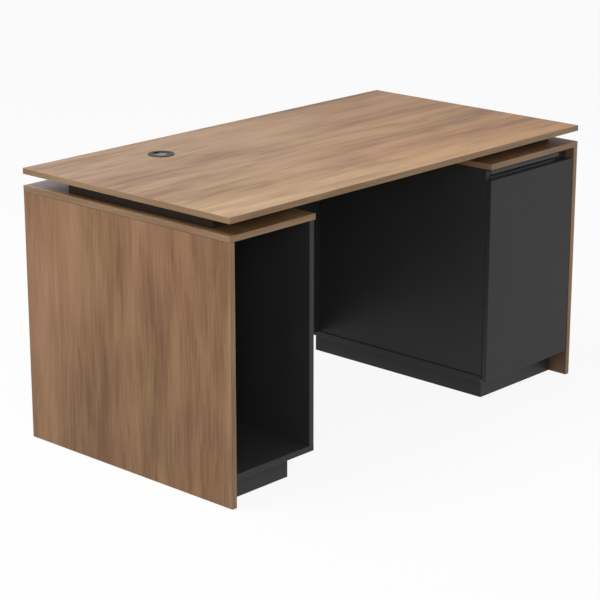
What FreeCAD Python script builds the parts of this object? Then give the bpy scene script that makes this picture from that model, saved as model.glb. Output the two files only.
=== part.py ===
"""Pedestal desk: a thin wood-decor worktop floating on black risers over two pedestals.

The left pedestal is an open niche and the right one a cupboard with a door on let-in hinges.
Millimetres. The origin is on the floor in the middle of the footprint, +Z is up,
the sitter is on the -Y side and +X is the sitter's right.
"""
import FreeCAD, Part
import math
import os

Vector = FreeCAD.Vector
os.makedirs("parts", exist_ok=True)

# Whole desk
desk_width = 1400.0
desk_depth = 750.0
desk_height = 740.0
worktop_thickness = 16.0
board = 16.0
shadow_gap = 30.0
plinth_height = 70.0

# Edge bands glued to the visible board edges
edge_band = 1.0
band_radius = 0.8
band_radius_limit_share = 0.9

# Pedestals
left_width = 300.0
right_width = 396.0
left_front_setback = 5.0
back_thickness = 16.0
foot_groove_height = 5.0
foot_groove_depth = 3.0

# Plinths
plinth_thickness = 16.0
plinth_rear_recess = 60.0
left_plinth_front_recess = 50.0
left_plinth_side_recess = 50.0
right_plinth_front_recess = 60.0
right_plinth_side_recess = 56.0

# Risers that carry the worktop
riser_thickness = 16.0
riser_front_recess = 82.0
riser_rear_recess = 150.0
riser_outer_recess = 25.0
riser_inner_recess = 25.0

# Modesty panel and the angle brackets behind it
modesty_thickness = 16.0
modesty_rear_recess = 109.0
bracket_leaf = 32.0
bracket_width = 30.0
bracket_thickness = 2.0
bracket_height_shares = (0.12, 0.88)
bracket_screw_shares = (0.3, 0.75)

# Door and the rail behind its finger gap
door_thickness = 16.0
door_rear_gap = 3.0
door_inner_gap = 1.2
door_inner_reveal = 1.0
door_outer_gap = 4.0
door_bottom_lift = 4.0
finger_gap = 30.0
rail_height = 80.0
rail_thickness = 16.0

# Pull: a C-shaped profile on the door's back that comes forward over its top edge
handle_end_inset = 68.0
handle_depth = 28.0
handle_wall = 2.0
handle_face_inset = 0.3
handle_top_clearance = 0.6
handle_rail_clearance = 2.2
handle_notch_clearance = 1.5
handle_sill_height = 7.4
handle_flange_drop = 16.0
hook_radius = 11.5
hook_rise = 8.0
hook_drop_degrees = 15.0
handle_screw_shares = (0.12, 0.5, 0.88)

# Hinges: a body let into the door's outer edge, and a plate on the end panel whose eye it turns on
pivot_edge_inset = 7.0
pivot_face_inset = 7.0
pivot_pin_radius = 2.5
pivot_pin_reach = 8.0
pivot_pin_clearance = 0.08
hinge_body_width = 18.0
hinge_body_height = 40.0
hinge_body_skin = 2.0
hinge_kerf_reach = 4.6
hinge_kerf_clearance = 0.25
hinge_eye_radius = 4.2
hinge_arm_width = 8.0
hinge_arm_thickness = 3.0
hinge_cross_width = 8.0
hinge_cross_clearance = 0.5
hinge_leaf_length = 40.0
hinge_leaf_height = 28.0
hinge_leaf_thickness = 2.5
hinge_screw_in_door = 12.0
hinge_height_shares = (0.15, 0.85)
hinge_leaf_screw_shares = (0.45, 0.82)
hinge_body_screw_shares = (0.16, 0.84)

# Magnetic catch and soft bumpers
catch_length = 45.0
catch_width = 15.0
catch_height = 16.0
catch_below_rail = 10.0
catch_gap = 0.2
strike_thickness = 1.0
strike_width = 14.0
strike_height = 28.0
catch_screw_shares = (0.25, 0.75)
bumper_radius = 5.0
bumper_clearance = 0.2
bumper_inset = 40.0

# Shelf and its pins
shelf_thickness = 16.0
shelf_height = 290.0
shelf_front_setback = 25.0
shelf_clearance = 1.0
shelf_pin_radius = 2.5
shelf_pin_depth = 9.0
shelf_tab_reach = 10.0
shelf_tab_width = 10.0
shelf_tab_thickness = 3.0
shelf_pin_shares = (0.12, 0.88)

# Cable grommet
grommet_from_end = 350.0
grommet_from_rear = 150.0
grommet_hole_radius = 30.0
grommet_clearance = 0.2
grommet_flange_radius = 36.0
grommet_flange_thickness = 2.0
grommet_chamfer = 1.0
grommet_sleeve_wall = 1.8
grommet_sleeve_overhang = 6.0
grommet_seat_width = 3.0
grommet_ledge_width = 3.0
grommet_ledge_thickness = 2.0
cap_thickness = 3.0
cap_clearance = 0.4
cap_recess = 1.0
cap_mouth_radius = 7.0
cap_dish_radius = 17.0
cap_dish_depth = 1.0

# Dowels of the glued carcases
dowel_radius = 4.0
dowel_skin = 5.0
dowel_in_edge = 19.0
dowel_clearance = 0.1
dowel_run_shares = (0.1, 0.5, 0.9)
dowel_pair_shares = (0.25, 0.75)

# Screws
worktop_screw_radius = 2.5
worktop_screw_skin = 6.0
small_screw_radius = 1.75
small_screw_skin = 4.0
screw_head_share = 2.0
screw_socket_share = 0.9
screw_clearance = 0.1
worktop_screw_shares = (0.2, 0.8)

# Floor glides
glide_radius = 6.5
glide_thickness = 2.5
glide_reach = 0.5
glide_seat_clearance = 0.3
glide_nail_radius = 1.0
glide_nail_length = 14.0
glide_nail_clearance = 0.1
glide_inset = 40.0

# One overrun for every through cut
overrun = 1.0

# Levels and planes that the pieces share
front_y = -desk_depth / 2
rear_y = desk_depth / 2
deck_z = plinth_height + board
worktop_z = desk_height - worktop_thickness
cap_board_z = worktop_z - shadow_gap
under_z = cap_board_z - board
left_inner_x = -desk_width / 2 + left_width
right_inner_x = desk_width / 2 - right_width
left_front_y = front_y + left_front_setback
right_front_y = front_y + door_thickness + door_rear_gap
right_inner_front_y = front_y + door_thickness + door_inner_gap
back_y = rear_y - back_thickness
door_low_z = plinth_height + door_bottom_lift
door_top_z = under_z - finger_gap
door_back_y = front_y + door_thickness
end_face_x = desk_width / 2 - board
door_x = (right_inner_x + door_inner_reveal, end_face_x - door_outer_gap)
pivot_x = door_x[1] - pivot_edge_inset
pivot_y = front_y + pivot_face_inset
handle_x = (door_x[0], door_x[1] - handle_end_inset)
handle_y = (front_y + handle_face_inset, front_y + handle_face_inset + handle_depth)

X, Y, Z = Vector(1, 0, 0), Vector(0, 1, 0), Vector(0, 0, 1)
solids = {}
cutters = {}


def add(node, *shapes):
    """Adds solids to a node."""
    solids.setdefault(node, []).extend(shapes)


def bore(nodes, cutter):
    """Notes a cut that all the named nodes take."""
    for node in nodes:
        cutters.setdefault(node, []).append(cutter)


def block(x, y, z):
    """Box between three (low, high) pairs."""
    return Part.makeBox(x[1] - x[0], y[1] - y[0], z[1] - z[0], Vector(x[0], y[0], z[0]))


def rod(point, axis, radius, start, end):
    """Cylinder about an axis through a point, from start to end along that axis."""
    return Part.makeCylinder(radius, end - start, point + axis * start, axis)


def at(pair, share):
    """Place between the two values of a pair."""
    return pair[0] + share * (pair[1] - pair[0])


def across(side, near, far):
    """X range between two distances in from a pedestal's outer face; side is -1 left, 1 right."""
    a = side * (desk_width / 2 - near)
    b = side * (desk_width / 2 - far)
    return (min(a, b), max(a, b))


def rounded_strip(box, axis, end):
    """Edge-band strip with its two long outer edges rounded."""
    shape = block(*box)
    sizes = [r[1] - r[0] for r in box]
    run = sizes.index(max(sizes))
    outer = box[axis][end]
    radius = min(band_radius, band_radius_limit_share * edge_band)
    edges = []
    for edge in shape.Edges:
        ends = [v.Point for v in edge.Vertexes]
        on_outer = all(abs(p[axis] - outer) < edge_band / 2 for p in ends)
        along_run = abs(ends[0][run] - ends[1][run]) > sizes[run] / 2
        if on_outer and along_run:
            edges.append(edge)
    return shape.makeFillet(radius, edges)


def banded(node, band_node, extent, sides):
    """Board whose named sides (such as '-y') are sliced off as edge bands."""
    box = [list(r) for r in extent]
    for side in sides:
        axis = "xyz".index(side[1])
        end = "-+".index(side[0])
        strip = [list(r) for r in box]
        outer = box[axis][end]
        inner = outer + edge_band if end == 0 else outer - edge_band
        strip[axis][1 - end] = inner
        box[axis][end] = inner
        add(band_node, rounded_strip(strip, axis, end))
    add(node, block(*box))


def dowel(group, face_node, edge_node, point, into_edge, face_depth):
    """Dowel across a joint: face_depth back into the face board, dowel_in_edge into the other's edge."""
    add(group, rod(point, into_edge, dowel_radius, -face_depth, dowel_in_edge))
    seat = rod(point, into_edge, dowel_radius + dowel_clearance,
               -face_depth - dowel_clearance, dowel_in_edge + dowel_clearance)
    bore((face_node, edge_node), seat)


def countersunk(point, into, radius, length, grow):
    """Countersunk screw from its head's face, made larger all round by grow for its hole."""
    head = radius * screw_head_share
    body = Part.makeCone(head + grow, radius + grow, head - radius, point, into)
    return body.fuse(rod(point, into, radius + grow, 0, length + grow)).removeSplitter()


def screw(group, nodes, point, into, radius, length):
    """Countersunk screw with a round socket, and its hole in the named nodes."""
    socket = rod(point, into, radius * screw_socket_share, 0, (screw_head_share - 1) * radius)
    add(group, countersunk(point, into, radius, length, 0).cut(socket))
    bore(nodes, countersunk(point, into, radius, length, screw_clearance))


def glide(node, x, y):
    """Floor glide let into a board that stands on the floor, held by its nail."""
    point = Vector(x, y, 0)
    disc = rod(point, Z, glide_radius, 0, glide_thickness)
    nail = rod(point, Z, glide_nail_radius, 0, glide_thickness + glide_nail_length)
    add("glides", disc.fuse(nail).removeSplitter())
    hole_end = glide_thickness + glide_nail_length + glide_nail_clearance
    bore((node,), rod(point, Z, glide_nail_radius + glide_nail_clearance, 0, hole_end))
    bore((node,), rod(point, Z, glide_radius + glide_seat_clearance, 0, glide_thickness))


def worktop():
    """Worktop with its bands and the grommet's hole."""
    extent = ((-desk_width / 2, desk_width / 2), (front_y, rear_y), (worktop_z, desk_height))
    banded("worktop", "worktop_edging", extent, ("-y", "+y", "-x", "+x"))


def grommet():
    """Flanged sleeve through the worktop, and the cap that sits on its ledge."""
    centre = Vector(-desk_width / 2 + grommet_from_end, rear_y - grommet_from_rear, 0)
    bore(("worktop",), rod(centre, Z, grommet_hole_radius, worktop_z - overrun, desk_height + overrun))
    outer = grommet_hole_radius - grommet_clearance
    inner = outer - grommet_sleeve_wall
    seat = inner - grommet_seat_width
    ledge = seat - grommet_ledge_width
    top = desk_height + grommet_flange_thickness
    cap_top = top - cap_recess
    cap_low = cap_top - cap_thickness
    low = worktop_z - grommet_sleeve_overhang
    outline = [
        (seat, top), (grommet_flange_radius - grommet_chamfer, top),
        (grommet_flange_radius, top - grommet_chamfer), (grommet_flange_radius, desk_height),
        (outer, desk_height), (outer, low), (inner, low),
        (inner, cap_low - grommet_ledge_thickness), (ledge, cap_low - grommet_ledge_thickness),
        (ledge, cap_low), (seat, cap_low),
    ]
    points = [centre + Vector(r, 0, z) for r, z in outline]
    section = Part.Face(Part.makePolygon(points + points[:1]))
    add("grommet_sleeve", section.revolve(centre, Z, 360))
    cap_radius = seat - cap_clearance
    cap = rod(centre, Z, cap_radius, cap_low, cap_top)
    mouth = rod(centre + Y * (cap_radius - cap_mouth_radius), Z, cap_mouth_radius,
                cap_low - overrun, cap_top + overrun)
    slot = block((centre.x - cap_mouth_radius, centre.x + cap_mouth_radius),
                 (centre.y + cap_radius - cap_mouth_radius, centre.y + cap_radius + overrun),
                 (cap_low - overrun, cap_top + overrun))
    dish = rod(centre, Z, cap_dish_radius, cap_top - cap_dish_depth, cap_top + overrun)
    add("grommet_cap", cap.cut(mouth.fuse(slot)).cut(dish))


def carcase(name, side, width, board_front_y, inner_front_y):
    """Boards that both pedestals share: end, top, bottom, inner and back, with dowels."""
    inner_side, outer_side = ("+x", "-x") if side < 0 else ("-x", "+x")
    end, top, bottom = name + "_end_panel", name + "_top_board", name + "_bottom_board"
    inner, back, dowels = name + "_inner_panel", name + "_back_panel", name + "_dowels"
    inward = X * -side
    full_y, carcase_y = (front_y, rear_y), (board_front_y, rear_y)
    panel_z = (deck_z, under_z)
    end_extent = (across(side, 0, board), full_y, (glide_reach, under_z))
    banded(end, name + "_end_edging", end_extent, ("-y", "+y"))
    banded(top, name + "_top_edging", (across(side, 0, width), full_y, (under_z, cap_board_z)),
           ("-y", "+y", outer_side, inner_side))
    bands = name + "_carcase_edging"
    bottom_extent = (across(side, board, width), carcase_y, (plinth_height, deck_z))
    banded(bottom, bands, bottom_extent, ("-y", inner_side))
    inner_extent = (across(side, width - board, width), (inner_front_y, rear_y), panel_z)
    banded(inner, bands, inner_extent, ("-y", "+y"))
    add(back, block(across(side, board, width - board), (back_y, rear_y), panel_z))
    end_x = side * (desk_width / 2 - board / 2)
    end_in_x = side * (desk_width / 2 - board)
    inner_x = side * (desk_width / 2 - width + board / 2)
    inner_in_x = side * (desk_width / 2 - width + board)
    depth = board - dowel_skin
    for share in dowel_run_shares:
        y = at(carcase_y, share)
        dowel(dowels, top, end, Vector(end_x, y, under_z), -Z, depth)
        dowel(dowels, top, inner, Vector(inner_x, y, under_z), -Z, depth)
        dowel(dowels, bottom, inner, Vector(inner_x, y, deck_z), Z, depth)
        dowel(dowels, end, bottom, Vector(end_in_x, y, plinth_height + board / 2), inward, depth)
        z = at(panel_z, share)
        dowel(dowels, end, back, Vector(end_in_x, back_y + back_thickness / 2, z), inward, depth)
        dowel(dowels, inner, back, Vector(inner_in_x, back_y + back_thickness / 2, z), -inward, depth)
    for y in (front_y + glide_inset, rear_y - glide_inset):
        glide(end, end_x, y)


def plinth(name, side, width, front_recess, side_recess):
    """Recessed plinth: front and rear boards with the side board between them."""
    front, flank, rear = name + "_plinth_front", name + "_plinth_side", name + "_plinth_rear"
    bottom, end, dowels = name + "_bottom_board", name + "_end_panel", name + "_dowels"
    z = (glide_reach, plinth_height)
    run_x = across(side, board, width - side_recess)
    front_range = (front_y + front_recess, front_y + front_recess + plinth_thickness)
    rear_range = (rear_y - plinth_rear_recess - plinth_thickness, rear_y - plinth_rear_recess)
    flank_x = across(side, width - side_recess - plinth_thickness, width - side_recess)
    flank_y = (front_range[1], rear_range[0])
    add(front, block(run_x, front_range, z))
    add(rear, block(run_x, rear_range, z))
    add(flank, block(flank_x, flank_y, z))
    depth = board - dowel_skin
    for node, y_range in ((front, front_range), (rear, rear_range)):
        mid_y = at(y_range, 0.5)
        for share in dowel_pair_shares:
            dowel(dowels, bottom, node, Vector(at(run_x, share), mid_y, plinth_height), -Z, depth)
        end_in = Vector(side * (desk_width / 2 - board), mid_y, at(z, 0.5))
        dowel(dowels, end, node, end_in, X * -side, depth)
        glide(node, side * (desk_width / 2 - width + side_recess + glide_inset), mid_y)
    flank_mid = at(flank_x, 0.5)
    for share in dowel_pair_shares:
        dowel(dowels, bottom, flank, Vector(flank_mid, at(flank_y, share), plinth_height), -Z, depth)
    joint_z = at(z, 0.5)
    thin = plinth_thickness - dowel_skin
    dowel(dowels, front, flank, Vector(flank_mid, flank_y[0], joint_z), Y, thin)
    dowel(dowels, rear, flank, Vector(flank_mid, flank_y[1], joint_z), -Y, thin)


def riser(name, side, width):
    """Frame of four strips on a top board; screws run up through it into the worktop."""
    z = (cap_board_z, worktop_z)
    y = (front_y + riser_front_recess, rear_y - riser_rear_recess)
    run_x = across(side, riser_outer_recess, width - riser_inner_recess)
    between_y = (y[0] + riser_thickness, y[1] - riser_thickness)
    outer_x = across(side, riser_outer_recess, riser_outer_recess + riser_thickness)
    inner_x = across(side, width - riser_inner_recess - riser_thickness, width - riser_inner_recess)
    strips = {
        "front": (run_x, (y[0], between_y[0])),
        "rear": (run_x, (between_y[1], y[1])),
        "outer": (outer_x, between_y),
        "inner": (inner_x, between_y),
    }
    length = board + shadow_gap + worktop_thickness - worktop_screw_skin
    for place, (x_range, y_range) in strips.items():
        node = name + "_riser_" + place
        add(node, block(x_range, y_range, z))
        for share in worktop_screw_shares:
            along_x = place in ("front", "rear")
            x = at(x_range, share if along_x else 0.5)
            point = Vector(x, at(y_range, 0.5 if along_x else share), under_z)
            nodes = (name + "_top_board", node, "worktop")
            screw("worktop_screws", nodes, point, Z, worktop_screw_radius, length)


def foot_groove():
    """Shadow groove along the foot of the right inner panel, on its knee side."""
    x = (right_inner_x - overrun, right_inner_x + foot_groove_depth)
    y = (right_inner_front_y - overrun, rear_y + overrun)
    bore(("right_inner_panel", "right_carcase_edging"), block(x, y, (deck_z, deck_z + foot_groove_height)))


def rail():
    """Front rail under the right top board, behind the finger gap."""
    x = (right_inner_x + board, end_face_x)
    y = (handle_y[1] + handle_rail_clearance, handle_y[1] + handle_rail_clearance + rail_thickness)
    z = (under_z - rail_height, under_z)
    add("right_front_rail", block(x, y, z))
    mid = Vector(0, at(y, 0.5), 0)
    for share in dowel_pair_shares:
        height = Z * at(z, share)
        depth = board - dowel_skin
        dowel("right_dowels", "right_inner_panel", "right_front_rail", mid + X * x[0] + height, X, depth)
        dowel("right_dowels", "right_end_panel", "right_front_rail", mid + X * x[1] + height, -X, depth)


def shelf():
    """Cupboard shelf lying on four pins with flat tabs."""
    x = (right_inner_x + board, end_face_x)
    y = (right_front_y + shelf_front_setback, back_y - shelf_clearance)
    low = deck_z + shelf_height
    extent = ((x[0] + shelf_clearance, x[1] - shelf_clearance), y, (low, low + shelf_thickness))
    banded("right_shelf", "right_carcase_edging", extent, ("-y",))
    for wall_x, inward, panel in ((x[0], X, "right_inner_panel"), (x[1], -X, "right_end_panel")):
        for share in shelf_pin_shares:
            wall = Vector(wall_x, at(y, share), low - shelf_tab_thickness / 2)
            reach = sorted((wall_x, wall_x + inward.x * shelf_tab_reach))
            tab = block(reach, (wall.y - shelf_tab_width / 2, wall.y + shelf_tab_width / 2),
                        (low - shelf_tab_thickness, low))
            peg = rod(wall, inward, shelf_pin_radius, -shelf_pin_depth, 0)
            seat = rod(wall, inward, shelf_pin_radius + dowel_clearance,
                       -shelf_pin_depth - dowel_clearance, 0)
            add("shelf_pins", tab.fuse(peg).removeSplitter())
            bore((panel,), seat)


def modesty():
    """Panel between the pedestals, held by angle brackets on its rear face."""
    y = (rear_y - modesty_rear_recess - modesty_thickness, rear_y - modesty_rear_recess)
    z = (deck_z, cap_board_z)
    add("modesty_panel", block((left_inner_x, right_inner_x), y, z))
    length = bracket_thickness + board - small_screw_skin
    walls = ((left_inner_x, X, "left_inner_panel"), (right_inner_x, -X, "right_inner_panel"))
    for wall_x, away, panel in walls:
        for share in bracket_height_shares:
            mid_z = at(z, share)
            leaf_z = (mid_z - bracket_width / 2, mid_z + bracket_width / 2)
            wide = sorted((wall_x, wall_x + away.x * bracket_leaf))
            thin = sorted((wall_x, wall_x + away.x * bracket_thickness))
            flat = block(wide, (y[1], y[1] + bracket_thickness), leaf_z)
            upright = block(thin, (y[1], y[1] + bracket_leaf), leaf_z)
            add("modesty_brackets", flat.fuse(upright).removeSplitter())
            for along, up in zip(bracket_screw_shares, reversed(bracket_screw_shares)):
                head_z = at(leaf_z, up)
                offset = bracket_thickness + along * (bracket_leaf - bracket_thickness)
                flat_head = Vector(wall_x + away.x * offset, y[1] + bracket_thickness, head_z)
                wall_head = Vector(wall_x + away.x * bracket_thickness, y[1] + offset, head_z)
                screw("modesty_screws", ("modesty_brackets", "modesty_panel"), flat_head, -Y,
                      small_screw_radius, length)
                screw("modesty_screws", ("modesty_brackets", panel), wall_head, -away,
                      small_screw_radius, length)


def door():
    """Door with its bands, bumpers and catch strike."""
    extent = (door_x, (front_y, door_back_y), (door_low_z, door_top_z))
    banded("door_panel", "door_edging", extent, ("-z", "+z", "-x", "+x"))
    for z in (door_low_z + bumper_inset, door_top_z - bumper_inset):
        foot = Vector(right_inner_x + board / 2, door_back_y, z)
        add("door_bumpers", rod(foot, Y, bumper_radius, 0, door_inner_gap - bumper_clearance))


def handle():
    """Extruded pull: flange on the door's back, sill, web, top and a nose over the door's edge."""
    front, back = handle_y
    mid = front + hook_radius
    web = back - handle_wall
    crown = under_z - handle_top_clearance
    level = crown - hook_rise
    inside = hook_radius - handle_wall
    sill = door_top_z + handle_sill_height
    flange_y = door_back_y + handle_wall
    flange_low = door_top_z - handle_flange_drop
    drop = math.radians(-hook_drop_degrees)
    outer_rise = math.asin(hook_rise / hook_radius)
    inner_rise = math.asin((hook_rise - handle_wall) / inside)

    def point(y, z):
        return Vector(handle_x[0], y, z)

    def on_hook(radius, angle):
        return point(mid - radius * math.cos(angle), level + radius * math.sin(angle))

    outer_tip, inner_tip = on_hook(hook_radius, drop), on_hook(inside, drop)
    outer_top, inner_top = on_hook(hook_radius, outer_rise), on_hook(inside, inner_rise)
    outside = [outer_top, point(back, crown), point(back, sill - handle_wall),
               point(flange_y, sill - handle_wall), point(flange_y, flange_low),
               point(door_back_y, flange_low), point(door_back_y, sill),
               point(web, sill), point(web, crown - handle_wall), inner_top]
    edges = [Part.makeLine(a, b) for a, b in zip(outside, outside[1:])]
    edges.append(Part.Arc(inner_top, on_hook(inside, 0), inner_tip).toShape())
    edges.append(Part.makeLine(inner_tip, outer_tip))
    edges.append(Part.Arc(outer_tip, on_hook(hook_radius, 0), outer_top).toShape())
    profile = Part.Face(Part.Wire(edges)).extrude(X * (handle_x[1] - handle_x[0]))
    notch = block((handle_x[0] - overrun, right_inner_x + board + handle_notch_clearance),
                  (door_back_y, back + overrun), (flange_low - overrun, crown + overrun))
    add("door_handle", profile.cut(notch))
    length = handle_wall + door_thickness - small_screw_skin
    for share in handle_screw_shares:
        head = Vector(at(handle_x, share), flange_y, at((flange_low, door_top_z), 0.5))
        screw("handle_screws", ("door_handle", "door_panel"), head, -Y, small_screw_radius, length)


def hinge_body(mid_z):
    """Forked body in a mortise of the door's edge, with the pin across its kerf and two screws."""
    x = (door_x[1] - hinge_body_width, door_x[1])
    y = (front_y + hinge_body_skin, door_back_y)
    z = (mid_z - hinge_body_height / 2, mid_z + hinge_body_height / 2)
    half = hinge_arm_thickness / 2 + hinge_kerf_clearance
    kerf = block((pivot_x - hinge_kerf_reach, x[1] + overrun), (y[0] - overrun, y[1] + overrun),
                 (mid_z - half, mid_z + half))
    reach = half + pivot_pin_reach
    pin = rod(Vector(pivot_x, pivot_y, mid_z), Z, pivot_pin_radius, -reach, reach)
    add("hinge_bodies", block(x, y, z).cut(kerf).fuse(pin).removeSplitter())
    bore(("door_panel", "door_edging"), block((x[0], x[1] + overrun), (y[0], y[1] + overrun), z))
    for share in hinge_body_screw_shares:
        head = Vector(x[1], at(y, 0.5), at(z, share))
        screw("hinge_body_screws", ("hinge_bodies", "door_panel"), head, -X,
              small_screw_radius, hinge_body_width + hinge_screw_in_door)


def hinge_plate(mid_z):
    """Leaf on the end panel with an arm that reaches into the door's kerf and an eye on its pin."""
    thick = (mid_z - hinge_arm_thickness / 2, mid_z + hinge_arm_thickness / 2)
    leaf_x = (end_face_x - hinge_leaf_thickness, end_face_x)
    cross = right_front_y + hinge_cross_clearance
    leaf_y = (cross, cross + hinge_leaf_length)
    leaf_z = (mid_z - hinge_leaf_height / 2, mid_z + hinge_leaf_height / 2)
    arm_x = (pivot_x - hinge_arm_width / 2, pivot_x + hinge_arm_width / 2)
    axis = Vector(pivot_x, pivot_y, 0)
    shape = rod(axis, Z, hinge_eye_radius, thick[0], thick[1])
    shape = shape.fuse(block(arm_x, (pivot_y, cross + hinge_cross_width), thick))
    shape = shape.fuse(block((arm_x[0], end_face_x), (cross, cross + hinge_cross_width), thick))
    shape = shape.fuse(block(leaf_x, leaf_y, leaf_z)).removeSplitter()
    running = rod(axis, Z, pivot_pin_radius + pivot_pin_clearance, thick[0] - overrun, thick[1] + overrun)
    add("hinge_plates", shape.cut(running))
    length = hinge_leaf_thickness + board - small_screw_skin
    for along, up in zip(hinge_leaf_screw_shares, reversed(hinge_leaf_screw_shares)):
        head = Vector(leaf_x[0], at(leaf_y, along), at(leaf_z, 1 - up))
        screw("hinge_plate_screws", ("hinge_plates", "right_end_panel"), head, X,
              small_screw_radius, length)


def hinges():
    """Two equal hinges up the door's outer edge."""
    for share in hinge_height_shares:
        mid_z = at((door_low_z, door_top_z), share)
        hinge_body(mid_z)
        hinge_plate(mid_z)


def catch():
    """Magnetic catch on the inner panel and the strike plate it holds on the door."""
    wall_x = right_inner_x + board
    top = under_z - rail_height - catch_below_rail
    z = (top - catch_height, top)
    strike_y = (door_back_y, door_back_y + strike_thickness)
    y = (strike_y[1] + catch_gap, strike_y[1] + catch_gap + catch_length)
    x = (wall_x, wall_x + catch_width)
    add("magnetic_catch", block(x, y, z))
    mid_z = at(z, 0.5)
    for share in catch_screw_shares:
        point = Vector(x[1], at(y, share), mid_z)
        length = catch_width + board - small_screw_skin
        screw("catch_screws", ("magnetic_catch", "right_inner_panel", "right_carcase_edging"), point, -X,
              small_screw_radius, length)
    mid_x = at(x, 0.5)
    plate = block((mid_x - strike_width / 2, mid_x + strike_width / 2), strike_y,
                  (mid_z - strike_height / 2, mid_z + strike_height / 2))
    add("catch_strike", plate)
    length = strike_thickness + door_thickness - small_screw_skin
    screw("strike_screw", ("catch_strike", "door_panel"), Vector(mid_x, strike_y[1], mid_z), -Y,
          small_screw_radius, length)


def write_parts():
    """Cuts the noted holes and writes one file per node."""
    for node, shapes in solids.items():
        if node in cutters:
            tool = Part.makeCompound(cutters[node])
            shapes = [shape.cut(tool) for shape in shapes]
        pieces = [solid for shape in shapes for solid in shape.Solids]
        result = pieces[0] if len(pieces) == 1 else Part.makeCompound(pieces)
        result.exportStep("parts/" + node + ".step")


worktop()
grommet()
carcase("left", -1, left_width, left_front_y, left_front_y)
carcase("right", 1, right_width, right_front_y, right_inner_front_y)
foot_groove()
plinth("left", -1, left_width, left_plinth_front_recess, left_plinth_side_recess)
plinth("right", 1, right_width, right_plinth_front_recess, right_plinth_side_recess)
riser("left", -1, left_width)
riser("right", 1, right_width)
rail()
shelf()
modesty()
door()
handle()
hinges()
catch()
write_parts()
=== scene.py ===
"""Pedestal desk: finishes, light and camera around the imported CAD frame."""

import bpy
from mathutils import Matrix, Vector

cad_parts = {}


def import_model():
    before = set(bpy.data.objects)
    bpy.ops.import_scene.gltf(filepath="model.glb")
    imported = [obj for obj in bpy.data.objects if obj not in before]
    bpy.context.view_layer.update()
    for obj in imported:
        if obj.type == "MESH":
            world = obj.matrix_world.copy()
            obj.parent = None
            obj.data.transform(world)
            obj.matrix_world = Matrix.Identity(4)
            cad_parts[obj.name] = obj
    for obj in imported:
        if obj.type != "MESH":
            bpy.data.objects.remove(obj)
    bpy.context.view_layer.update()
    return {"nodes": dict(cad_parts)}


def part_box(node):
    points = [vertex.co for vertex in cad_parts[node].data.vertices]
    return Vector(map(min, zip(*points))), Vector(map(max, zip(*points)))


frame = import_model()

import bpy
import numpy as np
from mathutils import Matrix

NODES = frame["nodes"]
NO_SHIFT = (0.0, 0.0, 0.0)
NO_TINT = (1.0, 1.0, 1.0)
FLAT = (1.0, 1.0, 0.0)
WHITE = (1.0, 1.0, 1.0, 1.0)

# Places of a Mix node's two inputs and its output, by the kind of value that it mixes
MIX_SOCKETS = {"RGBA": (6, 7, 2), "VECTOR": (4, 5, 1)}

# Camera fitted to the desk's straight edges, for a 600 x 600 image
IMAGE_SIZE = 600
FOCAL_PIXELS = 2076.9868
SENSOR_MM = 36.0
CAMERA_PLACE = (-4.052829, -3.700072, 1.981044)
CAMERA_RIGHT = (0.678847, -0.734279, -0.000129)
CAMERA_DOWN = (-0.214732, -0.198353, -0.956319)
CAMERA_FORWARD = (0.702180, 0.649222, -0.292325)
CAMERA_REACH = 200.0

# Printed walnut of boards and bands, as plain reflectances
WALNUT_LIGHT = (0.50, 0.280, 0.144)
WALNUT_MIDDLE = (0.385, 0.203, 0.094)
WALNUT_DARK = (0.225, 0.101, 0.039)
WALNUT_IOR = 1.45
BAND_LIGHT = (0.565, 0.372, 0.224)
BAND_MIDDLE = (0.462, 0.29, 0.161)
BAND_DARK = (0.30, 0.17, 0.08)
BAND_CONTRAST = 0.9

# Dark line where the top boards meet the end panels, a glue line deepened by painted crease shadow: its
# shade, and half its width in metres
JOINT_GLUE_AND_SHADOW = (0.05, 0.024, 0.011)
JOINT_HALF_WIDTH = 0.0006

# Painted shades that multiply the print: painted shade on the end panels' inner face, and painted sheen and
# shade across the worktop, at its right and rear
INNER_FACE_PAINTED_SHADE = (0.55, 0.58, 0.68)
RIGHT_PAINTED_SHADE = (0.89, 0.74, 0.50)
REAR_PAINTED_SHADE = (0.79, 0.80, 0.94)

# Share of X in the normal past which an edge strip faces sideways
SIDEWAYS = 0.5

# Layers of the walnut print, as noise cycles per metre along and across the grain
WOBBLE = (1.6, 5.0)
BROAD_BAND = (1.5, 8.0)
STREAK = (4.2, 42.0)
PATCH = (3.0, 11.0)
FINE_LINE = (8.0, 260.0)
PORE = (26.0, 1400.0)
HUE_DRIFT = (1.2, 5.0)

# Shifts that give a layer its own place in the noise
STREAK_SHIFT = (7.0, 3.0, 1.0)
PATCH_SHIFT = (2.0, 9.0, 4.0)
DRIFT_SHIFT = (5.0, 1.0, 8.0)

# Average of a noise value, and the values between which a mask of the print rises from 0 to 1
NOISE_MIDDLE = 0.5
SMUDGE_STREAK = (0.52, 0.70)
SMUDGE_PATCH = (0.46, 0.66)
PORE_NOISE = (0.58, 0.72)
PORE_LINE = (0.40, 0.70)
HUE_TURN = (0.32, 0.68)

# Bend of the grain in metres, weights of the layers in its tone, and how far tone goes to full light or dark
WOBBLE_WIDTH = 0.02
BAND_WEIGHT = 2.1
STREAK_WEIGHT = 1.5
LINE_WEIGHT = 1.1
SMUDGE_WEIGHT = -0.35
TONE_REACH = 0.55

# Share of dark in the pores, the two ends of the hue, and the print's roughness with what fine lines add
PORE_WEIGHT = 0.4
HUE_PINK = (1.01, 0.98, 1.01, 1.0)
HUE_YELLOW = (0.99, 1.025, 0.97, 1.0)
PRINT_ROUGHNESS = 0.37
LINE_ROUGHNESS = 0.16

# Pearl embossing: noise cycles per metre, and what they do to shade and roughness
GRIT_CYCLES = 900.0
CLOUD_CYCLES = 5.0
GRIT_SHADE = 0.25
CLOUD_SHADE = 0.20
CLOUD_ROUGHNESS = 0.22

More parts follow.
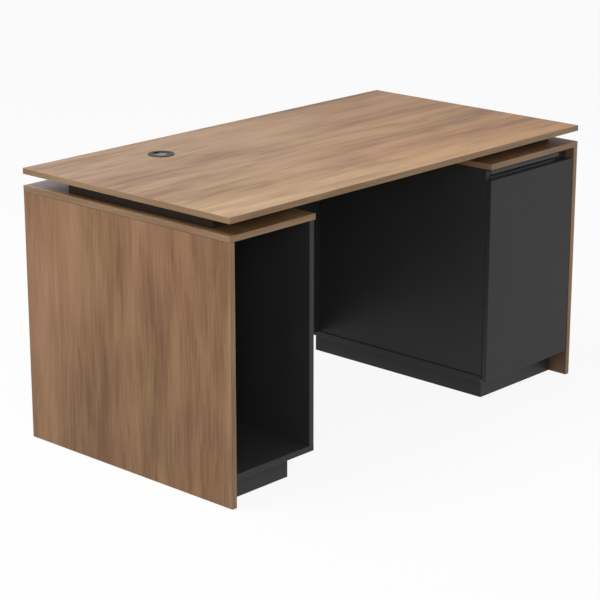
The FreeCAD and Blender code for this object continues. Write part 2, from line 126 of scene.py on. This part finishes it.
# Drawn metal: noise cycles per metre on X, Y and Z, and what they do to shade and roughness
DRAWN_CYCLES = (900.0, 900.0, 12.0)
DRAWN_SHADE = 0.15
DRAWN_ROUGHNESS = 0.16

# Round dish of the grommet's cap: radius and soft edge in metres, and what it adds to the roughness
DISH_RADIUS = 0.017
DISH_EDGE = 0.0006
DISH_POLISH = -0.26

# Floor: half its side in metres, its shade, its shade for bounced light, and how white it is shown
FLOOR_HALF = 30.0
FLOOR_SHADE = (0.95, 0.95, 0.95, 1.0)
FLOOR_BOUNCE = (0.3, 0.3, 0.3, 1.0)
FLOOR_WHITE = 0.92

# Strength of the world's even fill
FILL_STRENGTH = 0.344


# Node helpers

def link_value(tree, value, socket):
    """Puts a number, colour or another node's output into a socket."""
    if isinstance(value, bpy.types.NodeSocket):
        tree.links.new(value, socket)
    else:
        socket.default_value = value


def maths(tree, operation, *values, clamp=False):
    """Output of a Math node over the given numbers or sockets."""
    node = tree.nodes.new("ShaderNodeMath")
    node.operation = operation
    node.use_clamp = clamp
    for value, socket in zip(values, node.inputs):
        link_value(tree, value, socket)
    return node.outputs[0]


def vector_maths(tree, operation, *values):
    """Vector and Value outputs of a Vector Math node over the given vectors or sockets."""
    node = tree.nodes.new("ShaderNodeVectorMath")
    node.operation = operation
    for value, socket in zip(values, node.inputs):
        link_value(tree, value, socket)
    return node.outputs


def mix(tree, factor, a, b, kind="RGBA", blend="MIX"):
    """Output of a Mix node that goes from a to b."""
    node = tree.nodes.new("ShaderNodeMix")
    node.data_type = kind
    node.blend_type = blend
    first, second, output = MIX_SOCKETS[kind]
    link_value(tree, factor, node.inputs["Factor"])
    link_value(tree, a, node.inputs[first])
    link_value(tree, b, node.inputs[second])
    return node.outputs[output]


def axes(tree, vector):
    """X, Y and Z outputs of a vector."""
    split = tree.nodes.new("ShaderNodeSeparateXYZ")
    link_value(tree, vector, split.inputs[0])
    return split.outputs


def stretch(tree, vector, scale, shift=NO_SHIFT):
    """Vector times scale plus shift."""
    return vector_maths(tree, "MULTIPLY_ADD", vector, scale, shift)["Vector"]


def noise(tree, vector, scale=1.0, detail=2.0, roughness=0.5):
    """Value of a noise texture, about 0.5 on average."""
    node = tree.nodes.new("ShaderNodeTexNoise")
    link_value(tree, vector, node.inputs["Vector"])
    node.inputs["Scale"].default_value = scale
    node.inputs["Detail"].default_value = detail
    node.inputs["Roughness"].default_value = roughness
    return node.outputs[0]


def centred(tree, value):
    """Noise value less its average."""
    return maths(tree, "SUBTRACT", value, NOISE_MIDDLE)


def grain_layer(tree, vector, cycles, shift=NO_SHIFT, **texture):
    """Noise drawn out along the vector's X, with the given cycles along and across it."""
    along, across = cycles
    return noise(tree, stretch(tree, vector, (along, across, across), shift), **texture)


def spread(tree, value, low, high):
    """Maps low..high to 0..1, clamped, with a smooth step."""
    node = tree.nodes.new("ShaderNodeMapRange")
    node.interpolation_type = "SMOOTHSTEP"
    for number, socket in zip((value, low, high), node.inputs):
        link_value(tree, number, socket)
    return node.outputs[0]


def new_group(name, inputs, outputs):
    """Shader node group with the given (type, name) sockets; returns its tree, inputs and outputs."""
    tree = bpy.data.node_groups.new(name, "ShaderNodeTree")
    for way, sockets in (("INPUT", inputs), ("OUTPUT", outputs)):
        for kind, label in sockets:
            tree.interface.new_socket(label, in_out=way, socket_type="NodeSocket" + kind)
    return tree, tree.nodes.new("NodeGroupInput").outputs, tree.nodes.new("NodeGroupOutput").inputs


# Effects shared by materials

def grain_print():
    """Printed walnut grain running along the vector's X.

    A slow wobble bends the lines. On it lie broad bands of tone, mid streaks,
    fine lines and short dark pores, each a noise drawn out along X, and a slow
    drift of hue between yellow and pink.
    """
    tree, given, result = new_group(
        "walnut_print",
        [("Vector", "Vector"), ("Color", "Light"), ("Color", "Middle"), ("Color", "Dark"),
         ("Float", "Contrast"), ("Float", "Fine")],
        [("Color", "Color"), ("Float", "Roughness"), ("Float", "Height")])
    wobble = centred(tree, grain_layer(tree, given["Vector"], WOBBLE, detail=1.0))
    bend = tree.nodes.new("ShaderNodeCombineXYZ")
    link_value(tree, maths(tree, "MULTIPLY", wobble, WOBBLE_WIDTH), bend.inputs["Y"])
    vector = vector_maths(tree, "ADD", given["Vector"], bend.outputs[0])["Vector"]
    band = grain_layer(tree, vector, BROAD_BAND)
    streak = grain_layer(tree, vector, STREAK, STREAK_SHIFT, detail=3.0, roughness=0.6)
    patch = grain_layer(tree, vector, PATCH, PATCH_SHIFT, detail=1.0)
    line = grain_layer(tree, vector, FINE_LINE, detail=3.0, roughness=0.6)
    pore = grain_layer(tree, vector, PORE, detail=1.0)
    drift = grain_layer(tree, vector, HUE_DRIFT, DRIFT_SHIFT, detail=1.0)
    tone = maths(tree, "MULTIPLY", centred(tree, band), BAND_WEIGHT)
    fine = maths(tree, "MULTIPLY", centred(tree, streak), STREAK_WEIGHT)
    fine = maths(tree, "MULTIPLY_ADD", centred(tree, line), LINE_WEIGHT, fine)
    tone = maths(tree, "MULTIPLY_ADD", fine, given["Fine"], tone)
    smudge = maths(tree, "MULTIPLY", spread(tree, streak, *SMUDGE_STREAK), spread(tree, patch, *SMUDGE_PATCH))
    tone = maths(tree, "MULTIPLY_ADD", smudge, SMUDGE_WEIGHT, tone)
    tone = maths(tree, "MULTIPLY", tone, given["Contrast"])
    lighter = maths(tree, "DIVIDE", tone, TONE_REACH, clamp=True)
    darker = maths(tree, "DIVIDE", tone, -TONE_REACH, clamp=True)
    colour = mix(tree, lighter, given["Middle"], given["Light"])
    colour = mix(tree, darker, colour, given["Dark"])
    pores = maths(tree, "MULTIPLY", spread(tree, pore, *PORE_NOISE), spread(tree, line, *PORE_LINE))
    colour = mix(tree, maths(tree, "MULTIPLY", pores, PORE_WEIGHT), colour, given["Dark"])
    hue = mix(tree, spread(tree, drift, *HUE_TURN), HUE_PINK, HUE_YELLOW)
    rough = maths(tree, "MULTIPLY_ADD", line, LINE_ROUGHNESS, PRINT_ROUGHNESS)
    link_value(tree, mix(tree, 1.0, colour, hue, blend="MULTIPLY"), result["Color"])
    link_value(tree, rough, result["Roughness"])
    link_value(tree, maths(tree, "SUBTRACT", line, pores), result["Height"])
    return tree


def pearl_texture():
    """Fine pearl embossing of melamine, with faint clouds of wipe marks."""
    tree, given, result = new_group(
        "pearl_texture",
        [("Vector", "Vector"), ("Color", "Tint"), ("Float", "Roughness Base")],
        [("Color", "Color"), ("Float", "Roughness"), ("Float", "Height")])
    grit = noise(tree, given["Vector"], scale=GRIT_CYCLES, roughness=0.6)
    cloud = noise(tree, given["Vector"], scale=CLOUD_CYCLES, detail=4.0, roughness=0.6)
    shade = maths(tree, "MULTIPLY_ADD", centred(tree, cloud), CLOUD_SHADE, 1.0)
    shade = maths(tree, "MULTIPLY_ADD", centred(tree, grit), GRIT_SHADE, shade)
    grey = tree.nodes.new("ShaderNodeCombineColor")
    for socket in grey.inputs[:3]:
        link_value(tree, shade, socket)
    rough = maths(tree, "MULTIPLY_ADD", centred(tree, cloud), CLOUD_ROUGHNESS, given["Roughness Base"])
    link_value(tree, mix(tree, 1.0, given["Tint"], grey.outputs[0], blend="MULTIPLY"), result["Color"])
    link_value(tree, rough, result["Roughness"])
    link_value(tree, grit, result["Height"])
    return tree


def joint_line():
    """Mask of a thin line along one height: 1 on it, falling to 0 at half its width."""
    tree, given, result = new_group(
        "joint_line",
        [("Vector", "Vector"), ("Float", "Level"), ("Float", "Half Width")],
        [("Float", "Mask")])
    height = axes(tree, given["Vector"])["Z"]
    away = maths(tree, "ABSOLUTE", maths(tree, "SUBTRACT", height, given["Level"]))
    link_value(tree, spread(tree, away, given["Half Width"], 0.0), result["Mask"])
    return tree


WALNUT = grain_print()
PEARL = pearl_texture()
JOINT = joint_line()


# Parts of a material

def new_material(name, **sockets):
    """Principled material; returns it with its tree and shader, sockets set to plain values."""
    material = bpy.data.materials.new(name)
    material.use_nodes = True
    tree = material.node_tree
    shader = tree.nodes["Principled BSDF"]
    for label, value in sockets.items():
        shader.inputs[label.replace("_", " ")].default_value = value
    return material, tree, shader


def object_point(tree):
    """Object coordinates, which are the CAD's in metres."""
    return tree.nodes.new("ShaderNodeTexCoord").outputs["Object"]


def print_vector(tree, order, shift=NO_SHIFT):
    """Object coordinates with their axes in the given order, plus a shift."""
    point = axes(tree, object_point(tree))
    join = tree.nodes.new("ShaderNodeCombineXYZ")
    for axis, offset, socket in zip(order, shift, join.inputs):
        link_value(tree, maths(tree, "ADD", point[axis], offset), socket)
    return join.outputs[0]


def strip_vector(tree):
    """Object coordinates with the length of a level edge strip first: Y if it faces sideways, else X."""
    facing = axes(tree, tree.nodes.new("ShaderNodeTexCoord").outputs["Normal"])
    sideways = maths(tree, "GREATER_THAN", maths(tree, "ABSOLUTE", facing["X"]), SIDEWAYS)
    return mix(tree, sideways, object_point(tree), print_vector(tree, "YXZ"), kind="VECTOR")


def place_group(tree, group, vector, **values):
    """Outputs of a group node fed with a vector and its own values."""
    node = tree.nodes.new("ShaderNodeGroup")
    node.node_tree = group
    link_value(tree, vector, node.inputs["Vector"])
    for label, value in values.items():
        link_value(tree, value, node.inputs[label.replace("_", " ")])
    return node.outputs


def add_bump(tree, shader, height, strength, distance):
    """Bump from a height value."""
    bump = tree.nodes.new("ShaderNodeBump")
    bump.inputs["Strength"].default_value = strength
    bump.inputs["Distance"].default_value = distance
    link_value(tree, height, bump.inputs["Height"])
    link_value(tree, bump.outputs[0], shader.inputs["Normal"])


def opaque(colour, tint=1.0):
    """Colour times tint, with alpha 1."""
    return (*np.multiply(colour, tint), 1.0)


def shaded(tree, share, colour, shade):
    """Colour multiplied by a shade where the share is 1, and left alone where it is 0."""
    return mix(tree, share, colour, opaque(shade), blend="MULTIPLY")


def jointed(tree, colour):
    """Colour with the dark line where the top boards meet the end panels: a glue line deepened by painted
    crease shadow.
    """
    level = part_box("left_end_panel")[1][2]
    line = place_group(tree, JOINT, object_point(tree), Level=level, Half_Width=JOINT_HALF_WIDTH)
    return mix(tree, line["Mask"], colour, opaque(JOINT_GLUE_AND_SHADOW))


def end_panel_colour(tree, colour):
    """Colour of an end panel, with painted shade darkening its inner face, and the dark joint line deepened
    by painted crease shadow.
    """
    low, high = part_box("right_end_panel")
    from_middle = maths(tree, "ABSOLUTE", axes(tree, object_point(tree))["X"])
    # Painted shade: the inner face, nearer the middle than the panel's centre, is darkened
    inside = maths(tree, "LESS_THAN", from_middle, (low[0] + high[0]) / 2)
    return jointed(tree, shaded(tree, inside, colour, INNER_FACE_PAINTED_SHADE))


def worktop_painted_light(tree, colour):
    """Colour of the worktop with painted light: along X painted shade grows warmer to the right, where the
    sheen on the left falls off, and along Y painted shade deepens to the rear.
    """
    low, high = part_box("worktop")
    point = axes(tree, object_point(tree))
    # Painted sheen and shade laid over the print, growing along X and then along Y
    for place, start, end, shade in zip(point, low, high, (RIGHT_PAINTED_SHADE, REAR_PAINTED_SHADE)):
        colour = shaded(tree, spread(tree, place, start, end), colour, shade)
    return colour


# Finishes

def wood_finish(name, order, shift=NO_SHIFT, contrast=1.0, fine=1.0, tint=NO_TINT, ior=WALNUT_IOR,
                matte=0.0, touch=None):
    """Printed board with its grain along the first axis of order, and its colour touched up if asked."""
    material, tree, shader = new_material(name, IOR=ior)
    grain = place_group(tree, WALNUT, print_vector(tree, order, shift), Contrast=contrast, Fine=fine,
                        Light=opaque(WALNUT_LIGHT, tint), Middle=opaque(WALNUT_MIDDLE, tint),
                        Dark=opaque(WALNUT_DARK, tint))
    colour = touch(tree, grain["Color"]) if touch else grain["Color"]
    link_value(tree, colour, shader.inputs["Base Color"])
    link_value(tree, maths(tree, "ADD", grain["Roughness"], matte), shader.inputs["Roughness"])
    add_bump(tree, shader, grain["Height"], strength=0.15, distance=0.0004)
    return material


def edge_finish(name, upright=False, tint=NO_TINT):
    """Printed edge band, with its grain up an upright strip and along a level one."""
    material, tree, shader = new_material(name, IOR=WALNUT_IOR)
    vector = print_vector(tree, "ZYX") if upright else strip_vector(tree)
    grain = place_group(tree, WALNUT, vector, Contrast=BAND_CONTRAST, Fine=1.0,
                        Light=opaque(BAND_LIGHT, tint), Middle=opaque(BAND_MIDDLE, tint),
                        Dark=opaque(BAND_DARK, tint))
    link_value(tree, jointed(tree, grain["Color"]), shader.inputs["Base Color"])
    link_value(tree, grain["Roughness"], shader.inputs["Roughness"])
    add_bump(tree, shader, grain["Height"], strength=0.1, distance=0.0003)
    return material


def black_finish(name, tint, roughness=0.45, bump=0.25, ior=1.34):
    """Black melamine, plastic or coated metal with a fine pearl texture."""
    material, tree, shader = new_material(name, IOR=ior)
    pearl = place_group(tree, PEARL, object_point(tree), Tint=opaque(tint), Roughness_Base=roughness)
    link_value(tree, pearl["Color"], shader.inputs["Base Color"])
    link_value(tree, pearl["Roughness"], shader.inputs["Roughness"])
    add_bump(tree, shader, pearl["Height"], strength=bump, distance=0.0002)
    return material


def grommet_finish(name, tint, dish_tint):
    """Matte moulded plastic, polished inside the round dish of the cap."""
    material, tree, shader = new_material(name, Specular_IOR_Level=0.13)
    pearl = place_group(tree, PEARL, object_point(tree), Tint=opaque(tint), Roughness_Base=0.5)
    low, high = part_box("grommet_sleeve")
    to_axis = (-(low[0] + high[0]) / 2, -(low[1] + high[1]) / 2, 0.0)
    radius = vector_maths(tree, "LENGTH", stretch(tree, object_point(tree), FLAT, to_axis))["Value"]
    dish = spread(tree, radius, DISH_RADIUS, DISH_RADIUS - DISH_EDGE)
    rough = maths(tree, "MULTIPLY_ADD", dish, DISH_POLISH, pearl["Roughness"])
    link_value(tree, mix(tree, dish, pearl["Color"], opaque(dish_tint)), shader.inputs["Base Color"])
    link_value(tree, rough, shader.inputs["Roughness"])
    add_bump(tree, shader, pearl["Height"], strength=0.15, distance=0.0002)
    return material


def metal_finish(name, colour, roughness):
    """Plated metal with fine lines drawn out along Z."""
    material, tree, shader = new_material(name, Metallic=1.0)
    lines = noise(tree, stretch(tree, object_point(tree), DRAWN_CYCLES))
    dark = opaque(colour, 1.0 - DRAWN_SHADE)
    light = opaque(colour, 1.0 + DRAWN_SHADE)
    rough = maths(tree, "MULTIPLY_ADD", centred(tree, lines), DRAWN_ROUGHNESS, roughness)
    link_value(tree, mix(tree, lines, dark, light), shader.inputs["Base Color"])
    link_value(tree, rough, shader.inputs["Roughness"])
    add_bump(tree, shader, lines, strength=0.1, distance=0.0001)
    return material


# Dressing of the CAD nodes

def dress(material, *names):
    """Gives the named CAD nodes a material."""
    for name in names:
        mesh = NODES[name].data
        mesh.materials.clear()
        mesh.materials.append(material)


def both(*names):
    """The named nodes of the left and of the right pedestal."""
    return [side + "_" + name for side in ("left", "right") for name in names]


def finish_walnut():
    """Wood boards and their bands."""
    dress(wood_finish("walnut_worktop", "XYZ", shift=(1.5, 0.481, -1.44), fine=1.3, tint=(1.11, 1.26, 1.43),
                      ior=1.31, touch=worktop_painted_light), "worktop")
    dress(wood_finish("walnut_upright", "ZYX", shift=(6.69, 7.833, 0.0), tint=(1.08, 1.09, 1.15),
                      touch=end_panel_colour), *both("end_panel"))
    # The top boards' tints are darker than the end panels' print: painted shade for the gap under the
    # worktop, deepest on the left board
    dress(wood_finish("walnut_left_top", "YXZ", shift=(0.5, 0.0, 0.0), tint=(0.78, 0.86, 0.86),
                      ior=1.4, matte=-0.15), "left_top_board")
    dress(wood_finish("walnut_right_top", "YXZ", shift=(0.5, 0.0, 0.0), tint=(0.9, 0.98, 1.1),
                      ior=1.265, matte=0.1), "right_top_board")
    dress(edge_finish("walnut_band"), "worktop_edging")
    dress(edge_finish("walnut_top_band", tint=(0.96, 0.93, 0.97)), *both("top_edging"))
    dress(edge_finish("walnut_band_upright", upright=True), *both("end_edging"))


def finish_black():
    """Black boards, risers and bands."""
    dress(black_finish("black_melamine", tint=(0.049, 0.0485, 0.0485)),
          *both("bottom_board", "plinth_front", "plinth_side", "plinth_rear"),
          "right_inner_panel", "right_back_panel", "right_front_rail", "right_shelf", "modesty_panel")
    dress(black_finish("black_niche", tint=(0.040, 0.0385, 0.039)), "left_inner_panel", "left_back_panel")
    # Darker copy of the black melamine: painted shade on the door's front
    dress(black_finish("black_door_front", tint=(0.032, 0.032, 0.032)), "door_panel")
    # Risers: darker, brown-tinted black, painted shade of the shadow gap and painted bounce light from the
    # walnut around them
    dress(black_finish("black_riser", tint=(0.032, 0.020, 0.012), roughness=0.6, ior=1.3),
          *both("riser_front", "riser_rear", "riser_outer", "riser_inner"))
    dress(black_finish("black_band", tint=(0.041, 0.041, 0.041), roughness=0.4, bump=0.1),
          *both("carcase_edging"))
    # Lighter copy of the black band: painted light on the door's edges, which lie outside the top board's
    # shade
    dress(black_finish("black_door_band", tint=(0.052, 0.052, 0.052), roughness=0.4, bump=0.1),
          "door_edging")


def finish_fittings():
    """Pull, hinges, catch, grommet, glides and fixings."""
    dress(black_finish("black_anodised", tint=(0.052, 0.051, 0.049), roughness=0.38, bump=0.1, ior=1.36),
          "door_handle")
    dress(black_finish("black_powder_coat", tint=(0.025, 0.025, 0.025), roughness=0.5, bump=0.4),
          "hinge_plates", "hinge_bodies")
    dress(metal_finish("zinc_plate", colour=(0.42, 0.42, 0.41), roughness=0.36),
          "catch_strike", "strike_screw", "catch_screws", "hinge_plate_screws", "hinge_body_screws",
          "handle_screws", "modesty_brackets", "modesty_screws", "worktop_screws", "shelf_pins")
    dress(grommet_finish("grommet_black", tint=(0.040, 0.036, 0.032), dish_tint=(0.135, 0.127, 0.118)),
          "grommet_sleeve", "grommet_cap")
    dress(black_finish("black_nylon", tint=(0.025, 0.025, 0.025), roughness=0.5, bump=0.3),
          "magnetic_catch", "glides")
    dress(black_finish("black_rubber", tint=(0.03, 0.03, 0.03), roughness=0.6, bump=0.2), "door_bumpers")
    dress(wood_finish("beech_dowel", "ZYX", contrast=0.4, tint=(1.4, 1.95, 2.7)), *both("dowels"))


# Studio

def shown_white(tree, lit, white, amount=1.0):
    """Mixes a lit shader into a white one for what the camera, gloss and glass see."""
    path = tree.nodes.new("ShaderNodeLightPath").outputs
    mirrored = maths(tree, "MAXIMUM", path["Is Glossy Ray"], path["Is Transmission Ray"])
    seen = maths(tree, "MAXIMUM", path["Is Camera Ray"], mirrored)
    blend = tree.nodes.new("ShaderNodeMixShader")
    link_value(tree, maths(tree, "MULTIPLY", seen, amount), blend.inputs[0])
    link_value(tree, lit, blend.inputs[1])
    link_value(tree, white, blend.inputs[2])
    return blend.outputs[0]


def floor():
    """Pale floor that keeps a soft shadow: a flat square about the origin."""
    corners = FLOOR_HALF * np.array([(-1, -1, 0), (1, -1, 0), (1, 1, 0), (-1, 1, 0)])
    mesh = bpy.data.meshes.new("floor")
    mesh.from_pydata(corners.tolist(), [], [(0, 1, 2, 3)])
    piece = bpy.data.objects.new("floor", mesh)
    bpy.context.scene.collection.objects.link(piece)
    material = bpy.data.materials.new("pale_floor")
    material.use_nodes = True
    tree = material.node_tree
    tree.nodes.clear()
    matte = tree.nodes.new("ShaderNodeBsdfDiffuse")
    bounced = tree.nodes.new("ShaderNodeLightPath").outputs["Is Diffuse Ray"]
    link_value(tree, mix(tree, bounced, FLOOR_SHADE, FLOOR_BOUNCE), matte.inputs["Color"])
    glow = tree.nodes.new("ShaderNodeEmission")
    surface = shown_white(tree, matte.outputs[0], glow.outputs[0], FLOOR_WHITE)
    link_value(tree, surface, tree.nodes.new("ShaderNodeOutputMaterial").inputs["Surface"])
    mesh.materials.append(material)


def world():
    """White to the camera, and a plain even fill for the desk."""
    sky = bpy.data.worlds.new("studio")
    bpy.context.scene.world = sky
    sky.use_nodes = True
    tree = sky.node_tree
    tree.nodes.clear()
    fill = tree.nodes.new("ShaderNodeBackground")
    fill.inputs["Color"].default_value = WHITE
    fill.inputs["Strength"].default_value = FILL_STRENGTH
    white = tree.nodes.new("ShaderNodeBackground")
    white.inputs["Color"].default_value = WHITE
    surface = shown_white(tree, fill.outputs[0], white.outputs[0])
    link_value(tree, surface, tree.nodes.new("ShaderNodeOutputWorld").inputs["Surface"])


def set_up(name, data, place, right, up, forward):
    """Puts a lamp or camera in the scene at a place, looking forward."""
    piece = bpy.data.objects.new(name, data)
    turn = Matrix(np.array([right, up, np.negative(forward)]).T.tolist()).to_4x4()
    turn.translation = place
    piece.matrix_world = turn
    bpy.context.scene.collection.objects.link(piece)
    return piece


def unit(vector):
    """Vector at a length of 1."""
    return vector / np.linalg.norm(vector)


def lamp(name, place, target, size, watts):
    """Square softbox at a place, turned to a target."""
    data = bpy.data.lights.new(name, "AREA")
    data.size = size
    data.energy = watts
    forward = unit(np.subtract(target, place))
    right = unit(np.cross(forward, (0.0, 1.0, 0.0)))
    set_up(name, data, place, right, np.cross(right, forward), forward)


def lamps():
    """Large key softbox high over the left, and a weaker one at the front left."""
    lamp("key", place=(-1.68, 0.85, 4.18), target=(0.0, 0.0, 0.6), size=2.5, watts=118.0)
    lamp("front_fill", place=(-3.2, -3.4, 1.9), target=(0.0, 0.0, 0.5), size=2.0, watts=37.0)


def camera():
    """Camera at the photograph's viewing angle, with no shift."""
    data = bpy.data.cameras.new("camera")
    data.sensor_width = SENSOR_MM
    data.lens = FOCAL_PIXELS * SENSOR_MM / IMAGE_SIZE
    data.clip_end = CAMERA_REACH
    bpy.context.scene.camera = set_up("camera", data, CAMERA_PLACE, CAMERA_RIGHT,
                                      np.negative(CAMERA_DOWN), CAMERA_FORWARD)


finish_walnut()
finish_black()
finish_fittings()
floor()
world()
lamps()
camera()
bpy.context.scene.view_settings.view_transform = "Standard"
